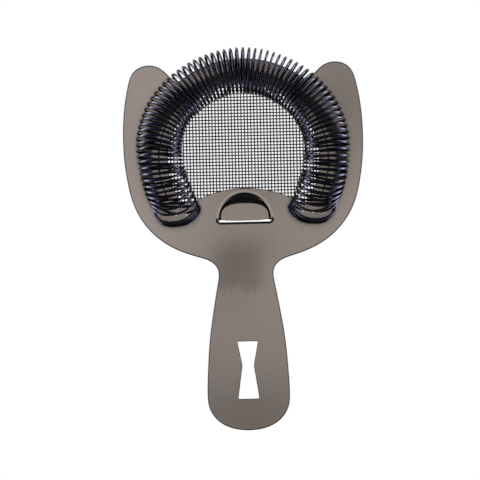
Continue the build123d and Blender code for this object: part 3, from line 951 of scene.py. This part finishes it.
def catmull(points, spacing):
    """Centripetal curve through points, resampled to a steady spacing."""
    p = np.asarray(points, float)
    p = np.vstack([2 * p[0] - p[1], p, 2 * p[-1] - p[-2]])
    out = []
    for i in range(1, len(p) - 2):
        t = [0.0]
        for j in range(3):
            t.append(t[-1] + max(np.linalg.norm(p[i + j] - p[i + j - 1]), 1e-9) ** 0.5)
        for u in np.linspace(t[1], t[2], 9)[:-1]:
            a, b, c = (between(p[i + j - 1], p[i + j], t[j], t[j + 1], u) for j in range(3))
            first, second = between(a, b, t[0], t[2], u), between(b, c, t[1], t[3], u)
            out.append(between(first, second, t[1], t[2], u))
    out.append(p[-2])
    return resample(np.array(out), spacing)


def coil_path(per_turn):
    """The whole wire from left to right, with a stitch in each end loop."""
    last = COIL_TURNS - 1
    enter, leave = loop_phase(HOLE_IN - STITCH_LEAD), loop_phase(HOLE_OUT + STITCH_LEAD)

    def walk(start, end):
        count = round((end - start) * per_turn)
        return [coil_point(start + (end - start) * i / count) for i in range(count + 1)]

    left_tail = walk(WIRE_START, enter)
    body = walk(leave, last + enter)
    right_tail = walk(last + leave, WIRE_END)
    left = catmull(left_tail[-2:] + stitch(0) + body[:2], STITCH_SPACING)
    right = catmull(body[-2:] + stitch(last) + right_tail[:2], STITCH_SPACING)
    return np.vstack([left_tail[:-2], left, body[2:-2], right, right_tail[2:]])


def build_coil(material):
    patch = Patch()
    patch.wire(coil_path(per_turn=28), WIRE_R + WIRE_SWELL, sides=12, round_ends=True)
    return make_object("coil", fit_to_box(patch.verts, "coil_spring"), patch, material)


# ---------------------------------------------------------------- woven mesh
WEAVE_LIFT = 0.182   # rise and fall of each wire's centre
MIN_WARP, MIN_WEFT = 1.5, 1.2   # shorter wires are left out


def weave_wire(patch, fixed, start, end, z_mid, along_y, index):
    """One wavy wire; warp runs along Y at fixed x, weft along X at fixed y."""
    count = max(4, int(round((end - start) / MESH_PITCH * 5)))
    s = np.linspace(start, end, count + 1)
    sign = 1 if index % 2 == 0 else -1
    wave = sign * WEAVE_LIFT * np.sin(math.pi * s / MESH_PITCH)
    across = np.full(len(s), fixed)
    if along_y:
        path = np.column_stack([across, s, z_mid + wave])
    else:
        path = np.column_stack([s, across, z_mid - wave])
    patch.wire(path, MESH_WIRE_R, sides=7)


def build_mesh(material):
    """Plain weave: every wire passes over and under the wires that cross it."""
    warp_lo, warp_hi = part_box("mesh_warp_wires")
    weft_lo, weft_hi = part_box("mesh_weft_wires")
    z_mid = (max(warp_hi.z, weft_hi.z) + min(warp_lo.z, weft_lo.z)) / 2 / MM
    count = int(MESH_R / MESH_PITCH) + 1
    warp, weft = Patch(), Patch()
    for k in range(-count, count + 1):
        c = (k + 0.5) * MESH_PITCH
        if abs(c) >= MESH_R - 0.4:
            continue
        half = math.sqrt(MESH_R**2 - c * c)
        low = max(-half, LIP_CY + math.sqrt(MESH_LIP_R**2 - c * c))
        if half - low > MIN_WARP:
            weave_wire(warp, c, low, half, z_mid, True, k)
        spans = [(-half, half)]
        if c < LIP_CY + MESH_LIP_R:
            cut = math.sqrt(MESH_LIP_R**2 - (c - LIP_CY) ** 2)
            spans = [(-half, -cut), (cut, half)]
        for start, end in spans:
            if end - start > MIN_WEFT:
                weave_wire(weft, c, start, end, z_mid, False, k)
    return [
        make_object(name, fit_to_box(patch.verts, node, axes=(0, 1)), patch, material)
        for name, patch, node in (
            ("warp_wires", warp, "mesh_warp_wires"), ("weft_wires", weft, "mesh_weft_wires"))
    ]


# ---------------------------------------------------------------- build
gunmetal = gunmetal_material()
spring_metal = mottled_metal(
    "spring_wire", scale=420, detail=3.0, rough=0.6,
    dark=(0.0045, 0.0042, 0.0100, 1.0), light=(0.0155, 0.0155, 0.0220, 1.0),
    roughness=0.13, gain=0.09)
mesh_metal = mottled_metal(
    "mesh_wire", scale=900, detail=2.0, rough=0.5,
    dark=(0.028, 0.028, 0.044, 1.0), light=(0.064, 0.064, 0.094, 1.0),
    roughness=0.30, gain=0.14)
# darker base, a painted dark reflection, and more polished, for the cut edges and the ramp of the
# louvre
gunmetal_edge_painted_dark = mottled_metal(
    "gunmetal_edge_painted_dark", scale=700, detail=3.0, rough=0.6,
    dark=(0.012, 0.011, 0.015, 1.0), light=(0.036, 0.033, 0.036, 1.0),
    roughness=0.14, gain=0.12, specular=(0.35, 0.34, 0.36, 1.0))

plate = build_plate(gunmetal, gunmetal_edge_painted_dark)
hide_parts("strainer_plate")
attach(plate, "head")

warp_wires, weft_wires = build_mesh(mesh_metal)
for piece, node in ((warp_wires, "mesh_warp_wires"), (weft_wires, "mesh_weft_wires")):
    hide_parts(node)
    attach(piece, "head")

coil = build_coil(spring_metal)
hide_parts("coil_spring")
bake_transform(coil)

# the CAD ring round the mesh stays, with softened edges
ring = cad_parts["mesh_ring"]
ring.data.materials.clear()
ring.data.materials.append(gunmetal)
weld = ring.modifiers.new("weld", "WELD")
weld.merge_threshold = 1e-6
bevel = ring.modifiers.new("bevel", "BEVEL")
bevel.width = 0.00012
bevel.segments = 2
bevel.limit_method = "ANGLE"
bevel.angle_limit = math.radians(40)

# ---------------------------------------------------------------- stage and light
FLOOR_GAP = 0.0004   # m below the plate
FLOOR_SIZE = 6.0     # m
SIDE_LEVEL, BACK_LEVEL, FRONT_LEVEL = 32.0, 13.0, 0.4   # low lights: +-X, +Y, -Y
CARD_CY, CARD_Z, CARD_WIDTH, CARD_LENGTH = -35.0, 55.0, 240.0, 320.0
CARD_GLOW_HALF_W, CARD_GLOW_HALF_L = 105.0, 150.0
CARD_LEVEL, CARD_MIN_LEVEL = 0.86, 0.05
# centre x, y, half width, half length (mm on the card), change of brightness
CARD_SPOTS = [
    (-40, 30, 25, 40, 0.22), (-36, -20, 20, 18, 0.24), (42, 26, 16, 18, -0.26),
    (36, -22, 20, 15, 0.18), (-3, -46, 9, 18, -0.26), (11, -60, 8, 16, 0.10),
    (2, -34, 9, 7, -0.16), (0, -21, 8, 4, 0.20), (3, -11, 13, 5, -0.36),
    (0, -90, 40, 38, -0.04), (0, -116, 40, 18, -0.38),
]
# place on the ramp (0 straight down, 1 straight up), brightness, tint
SKY = [
    (0.0, 0.10, (0.9, 0.95, 1.0)),
    (0.50, 0.10, (0.85, 0.92, 1.0)),
    (0.56, 0.26, (0.92, 0.95, 1.0)),
    (0.64, 0.42, (0.95, 0.97, 1.0)),
    (0.76, 0.34, (0.95, 0.97, 1.0)),
    (0.86, 0.10, (0.9, 0.94, 1.0)),
    (0.93, 0.25, (1.0, 1.0, 1.0)),
    (0.97, 0.75, (1.0, 1.0, 1.0)),
    (1.0, 0.85, (1.0, 1.0, 1.0)),
]
LOW_LIGHT_TINT = (0.90, 0.94, 1.0)
WHITE = (1, 1, 1, 1)


def stage_plane(name, y, z, width, length):
    """Level rectangle centred on x = 0; sizes in metres."""
    mesh = bpy.data.meshes.new(name)
    verts = [(width * i, y + length * j, z) for j in (-0.5, 0.5) for i in (-0.5, 0.5)]
    mesh.from_pydata(verts, [], [(0, 1, 3, 2)])
    obj = bpy.data.objects.new(name, mesh)
    bpy.context.scene.collection.objects.link(obj)
    return obj


def side_level(t, x, y):
    """Brightness of the low lights by compass direction.

    Both sides are strong, beyond the head is weaker and the handle side is dark."""
    reach = t.math("MAXIMUM", t.radius(x, y), 0.0001)
    sideways = t.math("ABSOLUTE", t.math("DIVIDE", x, reach))
    headwards = t.math("DIVIDE", y, reach)
    side = t.ease(sideways, start=0.45, end=0.92, low=0.0, high=SIDE_LEVEL)
    back = t.ease(headwards, start=-0.2, end=0.5, low=FRONT_LEVEL, high=BACK_LEVEL)
    return t.add(side, back)


def floor_material():
    """White to the camera; to other rays it glows like the low lights, and is clear from below."""
    material, t = new_material("pale_floor")
    light_path = t.node("ShaderNodeLightPath")
    geometry = t.node("ShaderNodeNewGeometry")
    x, y, z = t.split(geometry.outputs["Incoming"])
    # rays travel against Incoming
    ray_x, ray_y = t.mul(x, -1.0), t.mul(y, -1.0)
    steep = t.ease(t.math("ABSOLUTE", z), start=0.12, end=0.42)
    grazing_glow = t.mul(t.sub(1.0, steep), side_level(t, ray_x, ray_y))
    steep_level = 0.8
    glow = t.emission((0.96, 0.97, 1.0, 1), t.add(grazing_glow, t.mul(steep, steep_level)))
    seen = t.mix_shader(light_path.outputs["Is Camera Ray"], glow, t.emission(WHITE, 1.0))
    clear = t.node("ShaderNodeBsdfTransparent").outputs[0]
    t.output(t.mix_shader(geometry.outputs["Backfacing"], seen, clear))
    return material


def card_material():
    """Large soft overhead light whose brightness changes gently across it."""
    material, t = new_material("overhead_card")
    place = t.split(t.geometry("Position"))
    x, y = t.mul(place[0], 1000.0), t.mul(place[1], 1000.0)
    level = t.add(CARD_LEVEL, 0.0)
    for centre_x, centre_y, half_width, half_length, amount in CARD_SPOTS:
        u = t.mul(t.sub(x, centre_x), 1 / half_width)
        v = t.mul(t.sub(y, centre_y), 1 / half_length)
        spot = t.math("EXPONENT", t.mul(t.square_sum(u, v), -1.0))
        level = t.add(level, t.mul(spot, amount))
    level = t.math("MAXIMUM", level, CARD_MIN_LEVEL)
    glow = t.emission((1.0, 0.985, 0.97, 1), level)

    # soft edge in the shape of a rounded rectangle
    squareness = 3.0
    across = t.math("ABSOLUTE", t.mul(x, 1 / CARD_GLOW_HALF_W))
    along = t.math("ABSOLUTE", t.mul(t.add(y, -CARD_CY), 1 / CARD_GLOW_HALF_L))
    powers = [t.math("POWER", part, squareness) for part in (across, along)]
    reach = t.math("POWER", t.add(*powers), 1 / squareness)
    edge = t.ease(reach, start=0.72, end=1.0)
    # only rays that meet it steeply see the card
    slant = t.math("ABSOLUTE", t.split(t.geometry("Incoming"))[2])
    grazing = t.ease(slant, start=0.80, end=0.93, low=1.0, high=0.0)
    clear = t.node("ShaderNodeBsdfTransparent").outputs[0]
    t.output(t.mix_shader(t.math("MAXIMUM", edge, grazing), glow, clear))
    return material


def build_world():
    """Soft sky with low lights round the horizon; white to the camera."""
    world = bpy.data.worlds.new("studio")
    bpy.context.scene.world = world
    t = Tree(world)
    x, y, z = t.split(t.coordinate("Generated"))
    height = t.add(t.mul(z, 0.5), 0.5)
    sky = t.node("ShaderNodeValToRGB")
    t.link(height, sky.inputs["Fac"])
    stops = sky.color_ramp.elements
    stops.remove(stops[-1])
    for i, (position, level, tint) in enumerate(SKY):
        stop = stops.new(position) if i else stops[0]
        stop.position = position
        stop.color = (*(level * part for part in tint), 1.0)
    low = t.ease(z, start=0.02, end=0.20, low=1.0, high=0.0)
    lights = t.mul(low, side_level(t, x, y))
    tinted = t.node("ShaderNodeCombineXYZ")
    for i, part in enumerate(LOW_LIGHT_TINT):
        t.link(t.mul(lights, part), tinted.inputs[i])
    total = t.node("ShaderNodeVectorMath", operation="ADD")
    t.link(sky.outputs["Color"], total.inputs[0])
    t.link(tinted.outputs[0], total.inputs[1])
    studio, white = t.background(total.outputs[0]), t.background(WHITE)
    camera_ray = t.node("ShaderNodeLightPath").outputs["Is Camera Ray"]
    t.output(t.mix_shader(camera_ray, studio, white), "ShaderNodeOutputWorld")


p_lo, p_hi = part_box("strainer_plate")
floor = stage_plane("floor", 0, p_lo.z - FLOOR_GAP, FLOOR_SIZE, FLOOR_SIZE)
floor.data.materials.append(floor_material())

card = stage_plane("overhead_card", CARD_CY * MM, CARD_Z * MM, CARD_WIDTH * MM, CARD_LENGTH * MM)
card.data.materials.append(card_material())
card.visible_camera = False
card.visible_shadow = False

build_world()

scene = bpy.context.scene
scene.view_settings.view_transform = "Standard"
scene.view_settings.look = "None"
scene.view_settings.exposure = 0.0
scene.view_settings.gamma = 1.0

# ---------------------------------------------------------------- camera
# Straight above the plate, turned slightly; x and height in metres.
CAMERA_X, CAMERA_Z, CAMERA_TURN_DEG = -0.0021, 1.6, 1.3
AIM_SHARE = 0.4873    # aim point, as a share of the plate's length from its +Y end
VIEW_SHARE = 1.2874   # width of the view, as a share of the plate's length
SENSOR_WIDTH = 36.0

plate_length = p_hi.y - p_lo.y
camera_data = bpy.data.cameras.new("camera")
camera = bpy.data.objects.new("camera", camera_data)
scene.collection.objects.link(camera)
camera.location = (CAMERA_X, p_hi.y - AIM_SHARE * plate_length, CAMERA_Z)
camera.rotation_euler = (0, 0, -math.radians(CAMERA_TURN_DEG))
camera_data.sensor_width = SENSOR_WIDTH
camera_data.lens = SENSOR_WIDTH * CAMERA_Z / (VIEW_SHARE * plate_length)
camera_data.clip_start, camera_data.clip_end = 0.05, 20.0
scene.camera = camera
